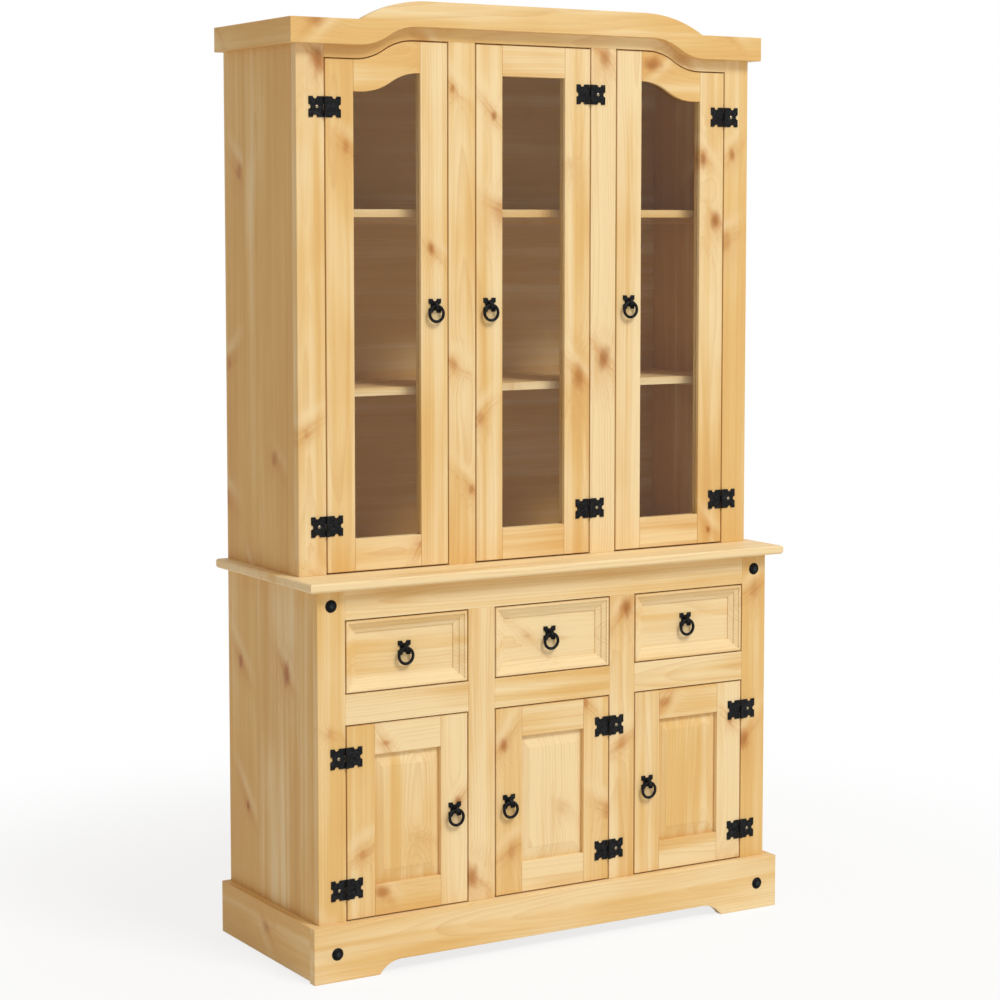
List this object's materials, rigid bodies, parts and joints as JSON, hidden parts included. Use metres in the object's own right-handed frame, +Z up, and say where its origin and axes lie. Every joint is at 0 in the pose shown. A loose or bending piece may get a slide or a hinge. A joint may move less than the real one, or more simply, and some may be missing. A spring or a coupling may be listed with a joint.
{
  "type": "highboard",
  "caption": "Pine highboard: a sideboard with drawers and panelled doors carrying a glazed hutch under an arched cornice, with black iron hinges and ring pulls.",
  "frame": {"origin": "on the floor, under the middle of the worktop", "axes": "+Z up, the doors and drawers face -Y, +X to the right of someone facing the front"},
  "size_m": [1.12, 0.43, 1.893],
  "materials": {
    "pine": "waxed knotty pine",
    "back_panel": "thin pine board",
    "iron": "black hammered iron",
    "glass": "clear float glass",
    "catch": "brown plastic"
  },
  "bodies": {
    "cabinet": {"base_sides": "pine", "base_floor": "pine", "base_back": "back_panel", "base_shelf": "pine", "base_uprights": "pine", "base_long_rails": "pine", "base_middle_rails": "pine", "worktop": "pine", "plinth_front": "pine", "plinth_sides": "pine", "drawer_runners": "pine", "hutch_sides": "pine", "hutch_decks": "pine", "hutch_back": "back_panel", "hutch_uprights": "pine", "hutch_top_rail": "pine", "cornice_front": "pine", "cornice_returns": "pine", "hutch_shelves": "pine", "shelf_cleats": "pine", "hinge_frame_leaves": "iron", "hinge_pins": "iron", "magnetic_catches": "catch", "iron_studs": "iron"},
    "hutch_door_left": {"hutch_door_left_frame": "pine", "hutch_door_left_glass": "glass", "hutch_door_left_iron": "iron"},
    "hutch_door_middle": {"hutch_door_middle_frame": "pine", "hutch_door_middle_glass": "glass", "hutch_door_middle_iron": "iron"},
    "hutch_door_right": {"hutch_door_right_frame": "pine", "hutch_door_right_glass": "glass", "hutch_door_right_iron": "iron"},
    "base_door_left": {"base_door_left_frame": "pine", "base_door_left_panel": "pine", "base_door_left_iron": "iron"},
    "base_door_middle": {"base_door_middle_frame": "pine", "base_door_middle_panel": "pine", "base_door_middle_iron": "iron"},
    "base_door_right": {"base_door_right_frame": "pine", "base_door_right_panel": "pine", "base_door_right_iron": "iron"},
    "drawer_left": {"drawer_left_front": "pine", "drawer_left_box": "pine", "drawer_left_plate": "iron"},
    "drawer_middle": {"drawer_middle_front": "pine", "drawer_middle_box": "pine", "drawer_middle_plate": "iron"},
    "drawer_right": {"drawer_right_front": "pine", "drawer_right_box": "pine", "drawer_right_plate": "iron"},
    "hutch_door_left_pull": {"hutch_door_left_ring": "iron"},
    "hutch_door_middle_pull": {"hutch_door_middle_ring": "iron"},
    "hutch_door_right_pull": {"hutch_door_right_ring": "iron"},
    "base_door_left_pull": {"base_door_left_ring": "iron"},
    "base_door_middle_pull": {"base_door_middle_ring": "iron"},
    "base_door_right_pull": {"base_door_right_ring": "iron"},
    "drawer_left_pull": {"drawer_left_ring": "iron"},
    "drawer_middle_pull": {"drawer_middle_ring": "iron"},
    "drawer_right_pull": {"drawer_right_ring": "iron"}
  },
  "joints": [
    {"name": "hutch_door_left_hinge", "type": "hinge", "parent": "cabinet", "child": "hutch_door_left", "pos_m": [-0.47225, -0.1144, 0.875], "axis": [0, 0, -1], "range_deg": [0, 170]},
    {"name": "base_door_left_hinge", "type": "hinge", "parent": "cabinet", "child": "base_door_left", "pos_m": [-0.47225, -0.1904, 0.1735], "axis": [0, 0, -1], "range_deg": [0, 170]},
    {"name": "hutch_door_middle_hinge", "type": "hinge", "parent": "cabinet", "child": "hutch_door_middle", "pos_m": [0.13625, -0.1144, 0.875], "axis": [0, 0, 1], "range_deg": [0, 170]},
    {"name": "base_door_middle_hinge", "type": "hinge", "parent": "cabinet", "child": "base_door_middle", "pos_m": [0.13625, -0.1904, 0.1735], "axis": [0, 0, 1], "range_deg": [0, 170]},
    {"name": "hutch_door_right_hinge", "type": "hinge", "parent": "cabinet", "child": "hutch_door_right", "pos_m": [0.47225, -0.1144, 0.875], "axis": [0, 0, 1], "range_deg": [0, 170]},
    {"name": "base_door_right_hinge", "type": "hinge", "parent": "cabinet", "child": "base_door_right", "pos_m": [0.47225, -0.1904, 0.1735], "axis": [0, 0, 1], "range_deg": [0, 170]},
    {"name": "drawer_left_slide", "type": "slide", "parent": "cabinet", "child": "drawer_left", "axis": [0, -1, 0], "range_m": [0, 0.3]},
    {"name": "drawer_middle_slide", "type": "slide", "parent": "cabinet", "child": "drawer_middle", "axis": [0, -1, 0], "range_m": [0, 0.3]},
    {"name": "drawer_right_slide", "type": "slide", "parent": "cabinet", "child": "drawer_right", "axis": [0, -1, 0], "range_m": [0, 0.3]},
    {"name": "hutch_door_left_ring_swing", "type": "hinge", "parent": "hutch_door_left", "child": "hutch_door_left_pull", "pos_m": [-0.231, -0.1195, 1.2995], "axis": [-1, 0, 0], "range_deg": [-8, 170]},
    {"name": "base_door_left_ring_swing", "type": "hinge", "parent": "base_door_left", "child": "base_door_left_pull", "pos_m": [-0.231, -0.1955, 0.303], "axis": [-1, 0, 0], "range_deg": [-8, 170]},
    {"name": "hutch_door_middle_ring_swing", "type": "hinge", "parent": "hutch_door_middle", "child": "hutch_door_middle_pull", "pos_m": [-0.105, -0.1195, 1.2995], "axis": [-1, 0, 0], "range_deg": [-8, 170]},
    {"name": "base_door_middle_ring_swing", "type": "hinge", "parent": "base_door_middle", "child": "base_door_middle_pull", "pos_m": [-0.105, -0.1955, 0.303], "axis": [-1, 0, 0], "range_deg": [-8, 170]},
    {"name": "hutch_door_right_ring_swing", "type": "hinge", "parent": "hutch_door_right", "child": "hutch_door_right_pull", "pos_m": [0.231, -0.1195, 1.2995], "axis": [-1, 0, 0], "range_deg": [-8, 170]},
    {"name": "base_door_right_ring_swing", "type": "hinge", "parent": "base_door_right", "child": "base_door_right_pull", "pos_m": [0.231, -0.1955, 0.303], "axis": [-1, 0, 0], "range_deg": [-8, 170]},
    {"name": "drawer_left_ring_swing", "type": "hinge", "parent": "drawer_left", "child": "drawer_left_pull", "pos_m": [-0.336, -0.1805, 0.6345], "axis": [-1, 0, 0], "range_deg": [-8, 170]},
    {"name": "drawer_middle_ring_swing", "type": "hinge", "parent": "drawer_middle", "child": "drawer_middle_pull", "pos_m": [0, -0.1805, 0.6345], "axis": [-1, 0, 0], "range_deg": [-8, 170]},
    {"name": "drawer_right_ring_swing", "type": "hinge", "parent": "drawer_right", "child": "drawer_right_pull", "pos_m": [0.336, -0.1805, 0.6345], "axis": [-1, 0, 0], "range_deg": [-8, 170]}
  ]
}
